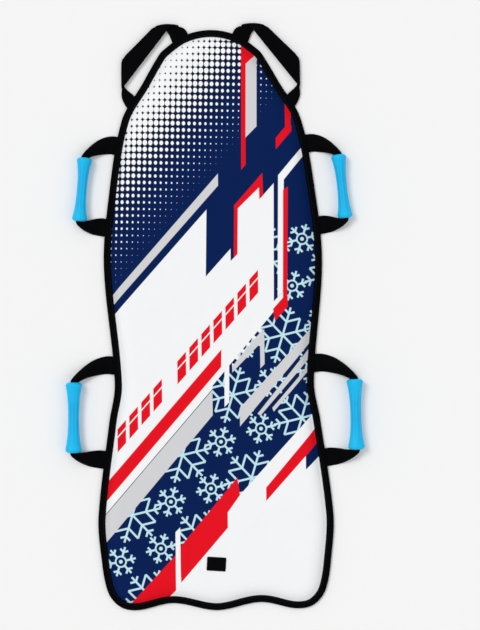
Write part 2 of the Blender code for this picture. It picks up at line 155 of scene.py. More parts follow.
def from_edge(point):
    """How far a point lies inside the outline, and how far round the outline it is."""
    point = Vector((point.x, point.y, 0))
    place, index, _ = NEAREST.find(point)
    ahead = (point - place).dot(ONWARD[index])
    return (point - place).dot(INWARD[index]), ALONG[index] + ahead


def edge_at(y):
    for here, there in zip(RIGHT_SIDE, RIGHT_SIDE[1:]):
        if here.y >= y > there.y:
            return here.lerp(there, (here.y - y) / (here.y - there.y))
    raise ValueError("no edge there")


# Meshes


def place_mesh(name, mesh, look):
    for face in mesh.faces:
        face.smooth = True
    data = bpy.data.meshes.new(name)
    mesh.to_mesh(data)
    mesh.free()
    data.materials.append(look)
    made = bpy.data.objects.new(name, data)
    bpy.context.scene.collection.objects.link(made)
    return made


def quads(here, there):
    """The corners of the faces between two closed rows of vertices."""
    return zip(here, here[1:] + here[:1], there[1:] + there[:1], there)


def skin(mesh, texture, here, there, run, round_run):
    """Faces between two closed rows of vertices, with their texture map."""
    for k, corners in enumerate(quads(here, there)):
        face = mesh.faces.new(corners)
        places = ((0, k), (0, k + 1), (1, k + 1), (1, k))
        for corner, (a, b) in zip(face.loops, places):
            corner[texture].uv = (run[a], round_run[b])


def loft(rings, run, round_run, closed=False):
    """A closed body through rings of points, its texture map in metres along and round it."""
    mesh = bmesh.new()
    texture = mesh.loops.layers.uv.new("along_and_round")
    loops = [[mesh.verts.new(point) for point in ring] for ring in rings]
    for i in range(len(loops) if closed else len(loops) - 1):
        skin(mesh, texture, loops[i], loops[(i + 1) % len(loops)], run[i : i + 2], round_run)
    if not closed:
        mesh.faces.new(loops[0])
        mesh.faces.new(loops[-1])
    bmesh.ops.recalc_face_normals(mesh, faces=mesh.faces)
    return mesh


def flat_map(mesh, texture, origin=(0, 0)):
    """Maps the texture straight down, in metres from an origin."""
    for face in mesh.faces:
        for corner in face.loops:
            corner[texture].uv = corner.vert.co.xy - Vector(origin)


def fold_rows(mesh):
    """Cuts rows across a board-wide mesh where it bends."""
    for row in range(FOLD_ROWS + 1):
        y = FOLD_Y + FOLD_REACH * (2 * row / FOLD_ROWS - 1)
        near = []
        for face in mesh.faces:
            reach = [v.co.y for v in face.verts]
            if min(reach) < y < max(reach):
                near.append(face)
        edges = {e for f in near for e in f.edges}
        verts = {v for f in near for v in f.verts}
        cut = [*verts, *edges, *near]
        bmesh.ops.bisect_plane(mesh, geom=cut, plane_co=(0, y, 0), plane_no=(0, 1, 0))
    return mesh


def fold_blend(piece):
    piece.data.update()
    start, end = (0, FOLD_Y - FOLD_REACH, 0), (0, FOLD_Y + FOLD_REACH, 0)
    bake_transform(piece)
    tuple(start)
    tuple(end)


# Shader arithmetic


class Number:
    """A number in a material's nodes. Arithmetic on it adds Math nodes."""

    def __init__(self, tree, source):
        self.tree, self.source = tree, source

    def math(self, operation, *others, clamp=False):
        node = self.tree.nodes.new("ShaderNodeMath")
        node.operation, node.use_clamp = operation, clamp
        for socket, item in zip(node.inputs, (self, *others)):
            feed(self.tree, socket, item)
        return Number(self.tree, node.outputs[0])

    __add__ = partialmethod(math, "ADD")
    __sub__ = partialmethod(math, "SUBTRACT")
    __mul__ = partialmethod(math, "MULTIPLY")
    __neg__ = partialmethod(math, "MULTIPLY", -1.0)
    min = partialmethod(math, "MINIMUM")
    max = partialmethod(math, "MAXIMUM")
    size = partialmethod(math, "ABSOLUTE")
    part = partialmethod(math, "FRACT")
    clamped = partialmethod(math, "ADD", 0.0, clamp=True)

    def edge(self, width):
        """1 where the number is above zero and 0 where it is below, soft over a width."""
        return self.math("MULTIPLY_ADD", 1 / width, 0.5, clamp=True)


def feed(tree, socket, item):
    if isinstance(item, Number):
        tree.links.new(item.source, socket)
    elif isinstance(item, bpy.types.NodeSocket):
        tree.links.new(item, socket)
    else:
        socket.default_value = item


def linear(red, green, blue):
    """A screen colour, 0 to 255, as the shader's own linear colour."""
    parts = []
    for part in (red, green, blue):
        part /= 255
        parts.append(part / 12.92 if part <= 0.04045 else ((part + 0.055) / 1.055) ** 2.4)
    return (*parts, 1.0)


class Look:
    """A material on the Principled shader, with what its nodes are built from."""

    def __init__(self, name, color, roughness, **fixed):
        self.made = bpy.data.materials.new(name)
        self.made.use_nodes = True
        self.tree = self.made.node_tree
        self.shader = self.tree.nodes["Principled BSDF"]
        self.color(color)
        self.roughness(roughness)
        for socket, value in fixed.items():
            self.shader.inputs[socket.replace("_", " ")].default_value = value

    def node(self, kind, **inputs):
        node = self.tree.nodes.new(kind)
        for socket, item in inputs.items():
            feed(self.tree, node.inputs[socket.replace("_", " ")], item)
        return node

    def map(self):
        """The texture map in millimetres, as a vector and its two numbers."""
        source = self.node("ShaderNodeUVMap").outputs[0]
        scaled = self.vector("SCALE", source, Scale=1000.0)
        split = self.node("ShaderNodeSeparateXYZ", Vector=scaled)
        return scaled, Number(self.tree, split.outputs[0]), Number(self.tree, split.outputs[1])

    def vector(self, operation, *items, **named):
        node = self.tree.nodes.new("ShaderNodeVectorMath")
        node.operation = operation
        for socket, item in zip(node.inputs, items):
            feed(self.tree, socket, item)
        for socket, item in named.items():
            feed(self.tree, node.inputs[socket], item)
        return node.outputs["Value" if operation == "DOT_PRODUCT" else "Vector"]

    def noise(self, place, scale, detail=3.0, rough=0.55):
        shape = {"Scale": scale, "Detail": detail, "Roughness": rough}
        return Number(self.tree, self.node("ShaderNodeTexNoise", Vector=place, **shape).outputs[0])

    def mix(self, share, first, second):
        node = self.tree.nodes.new("ShaderNodeMix")
        node.data_type = "RGBA"
        for socket, item in zip(("Factor", 6, 7), (share, first, second)):
            feed(self.tree, node.inputs[socket], item)
        return node.outputs[2]

    def spread(self, share, low, high):
        """A share from 0 to 1 stretched to between two values."""
        return share.math("MULTIPLY_ADD", high - low, low)

    def color(self, source):
        feed(self.tree, self.shader.inputs["Base Color"], source)

    def roughness(self, source):
        feed(self.tree, self.shader.inputs["Roughness"], source)

    def bump(self, height, distance):
        """Relief from a height of 0 to 1, its depth in metres."""
        node = self.node("ShaderNodeBump", Height=height, Strength=1.0, Distance=distance)
        old = self.shader.inputs["Normal"]
        if old.is_linked:
            self.tree.links.new(old.links[0].from_socket, node.inputs["Normal"])
        self.tree.links.new(node.outputs[0], old)


def wave(number, period):
    """A smooth ripple from 0 to 1 along a number."""
    return (number * (2 * pi / period)).math("SINE").math("MULTIPLY_ADD", 0.5, 0.5)


# Materials without a print; patterns on the texture map are in millimetres


def woven_tape(name, color, pitch, ribs, depth, roughness):
    """Narrow woven tape: ribs across it, a fine warp along it and a little fluff."""
    look = Look(name, color, roughness, Specular_IOR_Level=0.025)
    place, along, across = look.map()
    warp = wave(across + wave(along, pitch * 2) * (0.35 * pitch), pitch)
    weft = wave(along + wave(across, pitch * 2) * (0.3 * ribs), ribs)
    fluff = look.noise(place, 1.4, 4.0)
    patch = look.noise(place, 0.045, 3.0)
    height = warp * 0.45 + weft * 0.4 + fluff * 0.15
    look.bump(height, depth)
    # Painted highlight: the raised threads of the weave are coloured lighter, in slow patches.
    raised_weave_highlight = tuple(part * 2 + 0.0006 for part in color[:3]) + (1.0,)
    look.color(look.mix(height.min(patch * 1.4), color, raised_weave_highlight))
    look.roughness(look.spread(fluff, roughness - 0.12, roughness + 0.1))
    return look.made


def slick_base():
    look = Look("slick_base", linear(5, 5, 7), 0.38, Specular_IOR_Level=0.12)
    place, _, _ = look.map()
    stretched = look.vector("MULTIPLY", place, (1.0, 0.035, 1.0))  # drawn out along the board
    scuffs = look.noise(stretched, 0.32, 6.0, 0.7)
    grain = look.noise(place, 0.9, 2.0)
    haze = look.noise(place, 0.012, 2.0)
    look.bump(scuffs * 0.6 + grain * 0.4, 0.12 * MM)
    look.color(look.mix(scuffs * haze, linear(4, 4, 6), linear(22, 22, 25)))
    look.roughness(look.spread(scuffs.min(haze * 1.3), 0.26, 0.6))
    return look.made


GRIP_RIDGES = 9
GROOVE_SHADE_FULL, GROOVE_SHADE_FADE = 1.7, 36  # painted shade in the grooves between the ridges, fading out towards the ends of the grip


def grip_foam():
    look = Look("grip_foam", linear(14, 194, 244), 0.5, Specular_IOR_Level=0.22)
    place = look.node("ShaderNodeTexCoord").outputs["Object"]
    cells = look.node("ShaderNodeTexVoronoi", Vector=place, Scale=900.0)
    pores = Number(look.tree, cells.outputs["Distance"])
    speckle = look.noise(place, 420.0, 3.0, 0.65)
    cloud = look.noise(place, 34.0, 2.0)
    _, along, turn = look.map()
    middle = along.size() * (-1 / GROOVE_SHADE_FADE) + GROOVE_SHADE_FULL
    # Painted shade: the colour darkens in the grooves between the ridges, most in the middle of
    # the grip.
    groove_shade = (-wave(turn, 1000 / GRIP_RIDGES) + 1.0) * middle.clamped()
    pale = look.mix(cloud, linear(6, 186, 242), linear(24, 208, 250))
    # Darker blue where the foam is speckled, its own colour, and in the grooves, where it is
    # painted shade.
    look.color(look.mix((speckle + groove_shade) * 0.35, pale, linear(0, 140, 212)))
    look.bump(pores * 0.6 + speckle * 0.4, 0.22 * MM)
    look.roughness(look.spread(speckle, 0.42, 0.68))
    return look.made


def hook_tape():
    look = Look("hook_tape", linear(5, 5, 6), 0.8, Specular_IOR_Level=0.04)
    place, along, across = look.map()
    hooks = wave(along, 1.5).min(wave(across, 1.5))
    fluff = look.noise(place, 1.1, 3.0)
    look.bump(hooks * 0.8 + fluff * 0.2, 0.5 * MM)
    # Painted highlight: the tops of the hooks are coloured lighter.
    look.color(look.mix(hooks * 0.8, linear(2, 2, 3), linear(15, 15, 17)))
    look.roughness(look.spread(fluff, 0.55, 0.9))
    return look.made


def thread(name, color):
    look = Look(name, color, 0.6, Specular_IOR_Level=0.2)
    place, along, across = look.map()
    twist = wave(along + across * 1.2, 0.9)
    fluff = look.noise(place, 2.5, 2.0)
    look.bump(twist, 0.12 * MM)
    twist_shade = tuple(part * 0.5 for part in color[:3]) + (1.0,)
    # Painted shade: the thread is darker in the grooves of its twist, broken up by fluff noise.
    look.color(look.mix(twist * fluff * 1.6, twist_shade, color))
    look.roughness(look.spread(fluff, 0.45, 0.7))
    return look.made


TAPE_LOOK = woven_tape("edge_tape_cloth", linear(2, 2, 3), 0.9, 1.3, 0.18 * MM, 0.72)
WEBBING_LOOK = woven_tape("webbing_cloth", linear(2, 2, 3), 1.5, 2.1, 0.35 * MM, 0.68)
THREAD_LOOK = thread("black_thread", linear(30, 30, 33))
BASE_LOOK = slick_base()
GRIP_LOOK = grip_foam()
HOOK_LOOK = hook_tape()


# Printed cloth of the deck, in millimetres of the part frame

WHITE = linear(247, 248, 249)
NAVY = linear(0, 29, 82)
INK = linear(4, 6, 16)
RED = linear(233, 14, 32)
GREY = linear(213, 213, 216)
ICE = linear(196, 233, 241)
PRINT_EDGE = 0.9  # softness of the printed edges
RAGGED_SCALE, RAGGED = 0.9, 0.7  # how the edges waver
BAND_TOP = ((114, -5), (-229, -411))
BAND_LOW = ((189, -224), (-108, -546))
FIELD = (0, -50)  # a point inside the white field
# Its lines as two points and a third inside, for all of it and for each piece
FIELD_END = (*BAND_TOP, (-200, 0))
FIELD_PIECES = [
    [((-250, -40), (-13, 223.5), FIELD), ((-12, 222), (-15, 85), (-100, 0))],
    [((-15, 84.5), (43, 148.5), FIELD), ((37.5, 0), (37.5, 1), (0, 0))],
    [((37, 116), (52, 131.5), FIELD), ((60, 0), (60, 1), (0, 0))],
    [((44, 224), (106, 288), FIELD), ((104, 0), (104, 1), (0, 0)), ((50, 0), (50, 1), (100, 0))],
    [
        ((99.3, 245.1), (129.8, 278.9), FIELD),
        ((103, 0), (103, 1), (200, 0)),
        ((129.5, 279), (127.2, 55), FIELD),
    ],
]

GREY_SHAPES = [
    [(13, 300), (13, 275), (-243, -10), (-243, 12)],
    [(73, 530), (97, 555), (95, 398), (71, 374)],
    [(-4, -153), (-4, -206), (-243, -486), (-243, -427)],
    [(205, -25), (205, -52), (53, -230), (53, -192)],
    [(104, -26), (106, -48), (38, -117), (38, -104)],
    [(97, -45), (106, -27), (106, -100), (97, -109)],
    [(205, -62), (205, -83), (96, -208), (90, -204)],
    [(205, -96), (205, -107), (124, -200), (121, -192)],
]
RED_SHAPES = [
    [(65, 598), (75, 598), (71, 318), (62, 308)],
    [(65, 598), (112, 566), (75, 530), (64, 530)],
    [(155, 478), (169, 460), (166, 389), (155, 380)],
    [(135, 350), (135, 373), (158, 400), (168, 400), (168, 388)],
    [(46, 219), (54, 228), (52, 131), (44, 123)],
    [(46, 219), (46, 233), (106, 300), (106, 277)],
    [(98, 292), (106, 300), (107, 253), (99, 245)],
    [(149, 264), (159, 271), (155, 38), (146, 27)],
    [(129, -10), (125, 15), (151, 43), (156, 43), (156, 20)],
    [(16, -68), (15, -105), (-243, -401), (-243, -363)],
    [(46, -337), (51, -374), (25, -410), (-76, -527), (-76, -482)],
    [(25, -403), (25, -442), (-74, -556), (-76, -517)],
    [(-85, -498), (-85, -572), (-119, -609), (-189, -609)],
    [(215, -231), (224, -256), (106, -387), (106, -359)],
]
NAVY_SHAPES = [
    [(190, -276), (229, -246), (229, -285), (190, -322)],
    [(-4, -151), (-4, -153), (-243, -427), (-243, -425)],
]
WHITE_BARS = [
    [(139, 295), (151, 295), (146, 51), (135, 40)],
    [(139, 295), (200, 367), (200, 346), (151, 286)],
    [(22, -94), (32, -85), (31, -179), (21, -189)],
    [(125, 29), (147, 52), (151, 44), (125, 15)],
    [(-4, -140), (-4, -152), (-243, -426), (-243, -414)],
]
LAST_BAR = [(-85, -450), (-75, -440), (-75, -607), (-85, -607)]  # white, over the red
DASH_STRIP = [(38, -94), (102, -18), (102, -30), (38, -105)]
DASH_START = (37, -96)
DASH_SLOPE = 1.18
DASH_PERIOD = 18.5
DASH_SHARE = 0.4  # white share of the dashed gap
BLOCK_PERIOD = 25.5  # of the row of slanted blocks
BLOCK_SHARE = 0.72
BLOCK_SLOPE = 1.11
BLOCK_HALF = 24.0
BLOCK_SLIT = 1.8  # half the width of the slit
BLOCK_SLIT_UP = 0.3
BLOCK_START = (-208.0, -262.0)
BLOCK_WORDS = ((-210, -105), (-78, 98))  # starts and ends

DOT_ORIGIN = (61.8, 569.7)
DOT_PITCH = (11.48, 13.91)
DOT_TURN = radians(-1.6)
DOT_FIRST = 27.9  # count of the rows of dots at the origin
DOT_FULL = 1.052  # radius of the white dots in pitches, where the count is zero
DOT_FALL = 0.0247  # how much it shrinks from row to row
DOT_EDGE = 0.07
NAVY_START, NAVY_RISE = 1.5, 0.07  # behind the dots

FLAKE_ORIGIN = (144.5, -39.8)
FLAKE_STEPS = ((-106.4, -124.4), (37.8, -174.1))  # from flake to flake
FLAKE_TURN = radians(-13)
FLAKE_LINE = 2.1  # half the width of a flake's lines
FLAKE_RING, FLAKE_HUB = 0.8, 0.36
BIG_FLAKE = (60, [(29, 29), (47, 12)], 0)  # reach, branches as start and length, ring's radius
SMALL_FLAKE = (32, [(21, 10)], 11)
SMALL_SHIFTS = ((0.35, 0.31), (0.675, 0.64))
FLAKES_BELOW, FLAKES_RIGHT = 200, 60

WALE, COURSE = 1.1, 0.95  # stitches of the knit, across and along


class Print(Look):
    def __init__(self):
        super().__init__("printed_deck_cloth", WHITE, 0.62, Specular_IOR_Level=0.06)
        self.place, self.across, self.along = self.map()
        ragged = self.node("ShaderNodeTexNoise", Vector=self.place, Scale=RAGGED_SCALE, Detail=2.0)
        loose = self.vector("MULTIPLY_ADD", ragged.outputs[1], (RAGGED, RAGGED, 0), self.place)
        self.homogeneous = self.vector("ADD", loose, (-RAGGED / 2, -RAGGED / 2, 1.0))
        self.now = None

    def line(self, a, b, c):
        """a x + b y + c at each point."""
        return Number(self.tree, self.vector("DOT_PRODUCT", self.homogeneous, (a, b, c)))

    def side(self, first, second, inside):
        """Millimetres from the line through two points, positive on the side of a third."""
        (x1, y1), (x2, y2) = first, second
        run = hypot(x2 - x1, y2 - y1)
        a, b = (y1 - y2) / run, (x2 - x1) / run
        c = -(a * x1 + b * y1)
        if a * inside[0] + b * inside[1] + c < 0:
            a, b, c = -a, -b, -c
        return self.line(a, b, c)

    def bounded(self, lines):
        """Depth on the inner side of all of some lines."""
        return reduce(Number.min, [self.side(*line) for line in lines])

    def polygon(self, corners):
        middle = tuple(sum(corner[k] for corner in corners) / len(corners) for k in (0, 1))
        return self.bounded(zip(corners, corners[1:] + corners[:1], [middle] * len(corners)))

    def union(self, shapes):
        return reduce(Number.max, [self.polygon(shape) for shape in shapes])

    def paint(self, depth, color):
        self.now = self.mix(depth.edge(PRINT_EDGE), self.now, color)

    def lattice(self, origin, first, second):
        """Columns and rows of a lattice, counted from its origin."""
        (x, y), (ax, ay), (bx, by) = origin, first, second
        area = ax * by - bx * ay
        column = self.line(by / area, -bx / area, (bx * y - by * x) / area)
        return column, self.line(-ay / area, ax / area, (ay * x - ax * y) / area)

    def dots(self):
        """Halftone dots, white and shrinking towards the middle of the deck."""
        (wide, tall), over, up = DOT_PITCH, cos(DOT_TURN), sin(DOT_TURN)
        column, row = self.lattice(DOT_ORIGIN, (wide * over, wide * up), (-tall * up, tall * over))
        count = column - row + DOT_FIRST
        aside = (column + 0.5).part() - 0.5
        above = (row + 0.5).part() - 0.5
        reach = (aside * aside + above * above).math("SQRT")
        white = (count * -DOT_FALL + DOT_FULL - reach).edge(DOT_EDGE)
        navy = (count * NAVY_RISE - NAVY_START).clamped()
        self.now = self.mix(navy, INK, NAVY)
        self.now = self.mix(white, self.now, WHITE)

    def flake(self, column, row, shift, reach, branches, ring):
        """Distance inside the lines of a six-armed flake repeated over a slanted lattice."""
        (ax, ay), (bx, by) = FLAKE_STEPS
        one = (column - shift[0] + 0.5).part() - 0.5
        two = (row - shift[1] + 0.5).part() - 0.5
        x = one * ax + two * bx
        y = one * ay + two * by
        radius = (x * x + y * y).math("SQRT")
        sector = (y.math("ARCTAN2", x) + FLAKE_TURN) * (3 / pi)
        angle = ((sector + 0.5).part() - 0.5).size() * (pi / 3)
        out, aside = radius * angle.math("COSINE"), radius * angle.math("SINE")
        depth = (-aside + FLAKE_LINE).min(-out + reach)
        for start, length in branches:
            over = out - start
            off = (over * sin(pi / 3) - aside * 0.5).size()
            run = over * 0.5 + aside * sin(pi / 3)
            depth = depth.max((-off + FLAKE_LINE).min(-run + length).min(run + FLAKE_LINE))
        if ring:
            depth = depth.min(radius - ring)
            depth = depth.max(-(radius - ring).size() + FLAKE_LINE * FLAKE_RING)
            depth = depth.max(-radius + ring * FLAKE_HUB)
        return depth

    def flakes(self):
        column, row = self.lattice(FLAKE_ORIGIN, *FLAKE_STEPS)
        depth = self.flake(column, row, (0, 0), *BIG_FLAKE)
        for shift in SMALL_SHIFTS:
            depth = depth.max(self.flake(column, row, shift, *SMALL_FLAKE))
        within = self.line(0, -1, FLAKES_BELOW).min(self.line(1, 0, -FLAKES_RIGHT))
        return depth.min(within.max(self.side(*BAND_TOP, (200, -400))))

    def blocks(self):
        """A row of slanted blocks with a slit along them."""
        x, y = BLOCK_START
        count = self.line(1 / BLOCK_PERIOD, 0, -x / BLOCK_PERIOD).part()
        aside = (-(count - 0.5).size() + BLOCK_SHARE / 2) * BLOCK_PERIOD
        height = self.line(-BLOCK_SLOPE, 1, BLOCK_SLOPE * x - y)
        depth = aside.min(-height.size() + BLOCK_HALF)
        depth = depth.min((height - BLOCK_HALF * BLOCK_SLIT_UP).size() - BLOCK_SLIT)
        words = [self.line(1, 0, -a).min(self.line(-1, 0, b)) for a, b in BLOCK_WORDS]
        return depth.min(reduce(Number.max, words))

    def dashes(self):
        """White stitches across the gap between the white field and the grey line under it."""
        x, y = DASH_START
        count = self.side(DASH_START, (x - DASH_SLOPE, y + 1), (100, -20)) * (1 / DASH_PERIOD)
        depth = (count.part() - 1 + DASH_SHARE) * DASH_PERIOD
        return depth.min(self.polygon(DASH_STRIP))

    def finish(self):
        self.dots()
        self.paint(self.flakes(), ICE)
        white = reduce(Number.max, [self.bounded(piece) for piece in FIELD_PIECES])
        self.paint(white.min(self.side(*FIELD_END)).max(self.dashes()), WHITE)
        self.paint(self.side(*BAND_LOW, (100, -550)), WHITE)
        self.paint(self.union(WHITE_BARS), WHITE)
        self.paint(self.union(GREY_SHAPES), GREY)
        self.paint(self.union(NAVY_SHAPES), NAVY)
        self.paint(self.union(RED_SHAPES).max(self.blocks()), RED)
        self.paint(self.polygon(LAST_BAR), WHITE)
        wale = wave(self.across, WALE)
        course = wave(self.along + wave(self.across, WALE) * 0.35, COURSE)
        fluff = self.noise(self.place, 1.6, 3.0)
        worn = self.noise(self.place, 0.02, 3.0)
        # Painted shade along the knit's stitches and fluff, plus a slow uneven wear tone; the
        # print's colour is scaled down by it.
        knit_shade_and_wear = (wale * 0.4 + course * 0.25 + fluff * 0.35) * 0.09 + worn * 0.04
        self.color(self.vector("SCALE", self.now, Scale=-knit_shade_and_wear + 1.05))
        self.bump(wale * 0.45 + course * 0.35 + fluff * 0.2, 0.09 * MM)
        self.roughness(self.spread(fluff, 0.5, 0.78))
        return self.made


PRINT_LOOK = Print().finish()


# Board: deck pad, base, tape and its stitching


def smooth(t):
    t = min(1.0, max(0.0, t))
    return t * t * (3 - 2 * t)


PATCH_SIZE = (40 * MM, 29 * MM)
PATCH_TURN = radians(-4)
PATCH_PLACE = Vector((0, TAIL_Y + 99 * MM, 0))
PUCKER = 0.4 * MM
PUCKER_PITCH = 27 * MM
PUCKER_DRIFT = 2.5
SWELL = 0.9 * MM  # of the slow unevenness of the deck
SLOW, FINE = 9, 31  # scales of the unevenness, per metre
FINE_SHARE = 0.18
CALM_START, CALM_RUN = 30 * MM, 50 * MM  # round the hook patch
CROWN_POWER = 2.4


def deck_height(point):
    """The printed cloth over the foam: flat at the tape, puckered, then swelling and uneven."""
    inside, along = from_edge(point)
    share = min(1.0, max(0.0, (inside - FLAT_INSET) / CROWN_RUN))
    height = SKIN_EDGE + (DECK_HEIGHT - SKIN_EDGE) * (1 - (1 - share) ** CROWN_POWER)
    drift = PUCKER_DRIFT * noise.noise(Vector((along * SLOW, 0, 1)))
    ripple = sin(2 * pi * along / PUCKER_PITCH + drift)
    height += PUCKER * ripple * smooth(share * 5) * (1 - smooth(share * 1.6))
    calm = smooth(((point - PATCH_PLACE).length - CALM_START) / CALM_RUN)
    slow = noise.noise(Vector((point.x * SLOW, point.y * SLOW, 3)))
    fine = noise.noise(Vector((point.x * FINE, point.y * FINE, 7)))
    uneven = 0.5 + 0.5 * slow + FINE_SHARE * fine
    return height - SWELL * smooth(share * 1.2) * calm * uneven


def deck_pad():
    """Foam core and printed cloth as one closed pad."""
    rim = inset(FLAT_INSET, 0)
    flat = [p.to_2d() for p in rim]
    edges = [(i, (i + 1) % len(rim)) for i in range(len(rim))]
    flat += [p.to_2d() for row in RIM_ROWS for p in inset(FLAT_INSET + row, 0)]
    ranks = int(BOARD_LENGTH / DECK_GRID) + 1
    files = int(DECK_HALF / DECK_GRID)
    for rank in range(ranks):
        for file in range(-files, files + 1):
            shift = 0.5 * DECK_GRID * (rank % 2)
            point = Vector((file * DECK_GRID + shift, TAIL_Y + rank * DECK_GRID, 0))
            if from_edge(point)[0] > FLAT_INSET + RIM_ROWS[-1] + 0.5 * DECK_GRID:
                flat.append(point.to_2d())
    points, _, faces, *_ = delaunay_2d_cdt(flat, edges, [], 1, 1e-6)  # 1: inside the rim only
    mesh = bmesh.new()
    top = [mesh.verts.new((p.x, p.y, deck_height(Vector((p.x, p.y, 0))))) for p in points]
    for face in faces:
        mesh.faces.new([top[i] for i in face])
    rings = [top[: len(rim)]]
    for distance, height in PAD_RINGS:
        rings.append([mesh.verts.new(p) for p in inset(distance, height)])
    for here, there in zip(rings, rings[1:]):
        for corners in quads(here, there):
            mesh.faces.new(corners)
    mesh.faces.new(rings[-1])
    bmesh.ops.recalc_face_normals(mesh, faces=mesh.faces)
    fold_rows(mesh)
    flat_map(mesh, mesh.loops.layers.uv.new("part_frame"))
    pad = place_mesh("deck_pad", mesh, PRINT_LOOK)
    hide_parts("deck_skin_front", "deck_skin_rear", "foam_core_front", "foam_core_rear")
    fold_blend(pad)


def base_sheet():
    rings = [inset(FLAT_INSET + BASE_RISE_RUN * a, BASE_LIFT * b) for a, b in BASE_RISE]
    rings.append(inset(LAYER_INSET, BASE_LIFT))
    rings += [[p + UP * BASE_THICK for p in ring] for ring in reversed(rings)]
    mesh = loft(rings, [0.0] * len(rings), [0.0] * (len(LOOP) + 1))
    fold_rows(mesh)
    flat_map(mesh, mesh.loops.layers.uv.verify())
    sheet = place_mesh("base", mesh, BASE_LOOK)
    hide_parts("base_sheet_front", "base_sheet_rear")
    fold_blend(sheet)


# The tape's section as inset and height in millimetres, from the bottom's inner edge all round
TAPE_SECTION = [(15, 0.7), (14.6, 0.4), (12.6, 0.42), (11.5, 0.62), (10.4, 0.42), (6, 0.4)]
TAPE_SECTION += [(2.6, 0.45), (1.1, 0.95), (0.3, 1.9), (0, 3.1), (0, 4.5), (0.3, 5.7)]
TAPE_SECTION += [(1.1, 6.65), (2.6, 7.15), (6, 7.2), (10.4, 7.18), (11.5, 6.92), (12.6, 7.16)]
TAPE_SECTION += [(14.6, 7.2), (15, 6.9), (14.8, 6.2), (1.3, 6.2), (1.3, 1.4), (14.8, 1.4)]
TAPE_ROUND, TAPE_FREE = 1.5, 13  # insets
TAPE_PULL = 0.14
TAPE_SWAY = 0.35  # of the free edge
STITCH_INSET = 11.5 * MM
STITCH_PITCH = 4.4 * MM
STITCH_LENGTH = 3.3 * MM
STITCH_HALF = 0.42 * MM
STITCH_HEIGHTS = ((7.05 * MM, UP), (0.52 * MM, -UP))
STITCH_STEPS = 4
STITCH_SECTION = ((1, 0), (0.7, 0.6), (0, 0.85), (-0.7, 0.6), (-1, 0), (0, -0.5))
STITCH_TAPER, STITCH_DIP = 0.55, 1.1


def edge_tape():
    rings = []
    for point, inward, along in zip(LOOP, INWARD, ALONG):
        wander = noise.noise(Vector((along * 12, 2, 5)))
        pull = TAPE_PULL * sin(2 * pi * along / (8 * STITCH_PITCH)) * wander
        ring = []
        for distance, height in TAPE_SECTION:
            free = distance > TAPE_FREE
            sway = TAPE_SWAY * noise.noise(Vector((along * 16, free, height > 3)))
            far = distance + sway * free
            outer = height > 7 or height < 0.5
            lift = pull if TAPE_ROUND < distance < TAPE_FREE and outer else 0.0
            lift = max(lift, 0.0) if height < 1 else lift
            ring.append(point + inward * far * MM + UP * (height + lift) * MM)
        rings.append(ring)
    across = lengths([Vector((a * MM, b * MM, 0)) for a, b in TAPE_SECTION], closed=True)
    mesh = fold_rows(loft(rings, ALONG, across, closed=True))
    tape = place_mesh("edge_tape", mesh, TAPE_LOOK)
    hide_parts("edge_tape_front", "edge_tape_rear")
    fold_blend(tape)


def stitch(mesh, texture, middle, way, up, length, half):
    """One stitch: a short thread that dips into the cloth at both ends."""
    aside = way.cross(up)
    rings = []
    for step in range(STITCH_STEPS + 1):
        share = step / STITCH_STEPS * 2 - 1
        thick = half * (1 - STITCH_TAPER * abs(share) ** 3)
        centre = middle + way * share * length / 2 - up * half * STITCH_DIP * share * share
        spokes = [(aside * a + up * b) * thick for a, b in STITCH_SECTION]
        rings.append([mesh.verts.new(centre + spoke) for spoke in spokes])
    around = [k * half for k in range(len(STITCH_SECTION) + 1)]
    for i, (here, there) in enumerate(zip(rings, rings[1:])):
        run = (i * length / STITCH_STEPS, (i + 1) * length / STITCH_STEPS)
        skin(mesh, texture, here, there, run, around)
    mesh.faces.new(rings[0])
    mesh.faces.new(rings[-1])


def sewn(name, stitches, look):
    """A piece made of stitches: the middle, way, up, length and half thickness of each."""
    mesh = bmesh.new()
    texture = mesh.loops.layers.uv.new("along_and_round")
    for given in stitches:
        stitch(mesh, texture, *given)
    bmesh.ops.recalc_face_normals(mesh, faces=mesh.faces)
    return place_mesh(name, mesh, look)


def edge_stitches():
    """Lockstitch all round, through the tape from above and below."""
    stitches = []
    row = inset(STITCH_INSET, 0)
    run = lengths(row, closed=True)
    count = int(run[-1] / STITCH_PITCH)
    pitch = run[-1] / count
    index = 0
    for number in range(count):
        target = (number + 0.5) * pitch
        while run[index + 1] < target:
            index += 1
        here, there = row[index], row[(index + 1) % len(row)]
        place = here.lerp(there, (target - run[index]) / (run[index + 1] - run[index]))
        way = (there - here).normalized()
        for height, up in STITCH_HEIGHTS:
            stitches.append((place + UP * height, way, up, STITCH_LENGTH, STITCH_HALF))
    made = sewn("edge_stitches", stitches, THREAD_LOOK)
    fold_blend(made)


# Webbing

WEBBING_HALF = 0.9 * MM
NO_PULL = Vector()
WEBBING_WIDTH = 38 * MM
LANES = 8  # on each side of the middle
LANE_SHARE = {0: 0.45, 1: 0.92}  # of the thickness, by the lane's number from the edge


def webbing_ring(middle, across, normal, width, bend=0.0, arch=0.0, pull=(NO_PULL, NO_PULL)):
    """A cross-section of webbing with soft edges, curled to a bend or humped by an arch.

    Its first and last edge can be pulled aside, which rounds the ends of a fold."""
    upper, lower = [], []
    for k in range(-LANES, LANES + 1):
        share = k / LANES
        run = share * width / 2
        half = WEBBING_HALF * LANE_SHARE.get(LANES - abs(k), 1.0)
        turn = run * bend
        aside = sin(turn) / bend if bend else run
        drop = (1 - cos(turn)) / bend if bend else -arch * (1 - share * share)
        tilt = turn if bend else atan2(arch * 2 * share, width / 2)
        place = middle + across * aside - normal * drop + pull[share > 0] * share * share
        facing = across * sin(tilt) + normal * cos(tilt)
        upper.append(place + facing * half)
        lower.append(place - facing * half)
    return upper + lower[::-1]


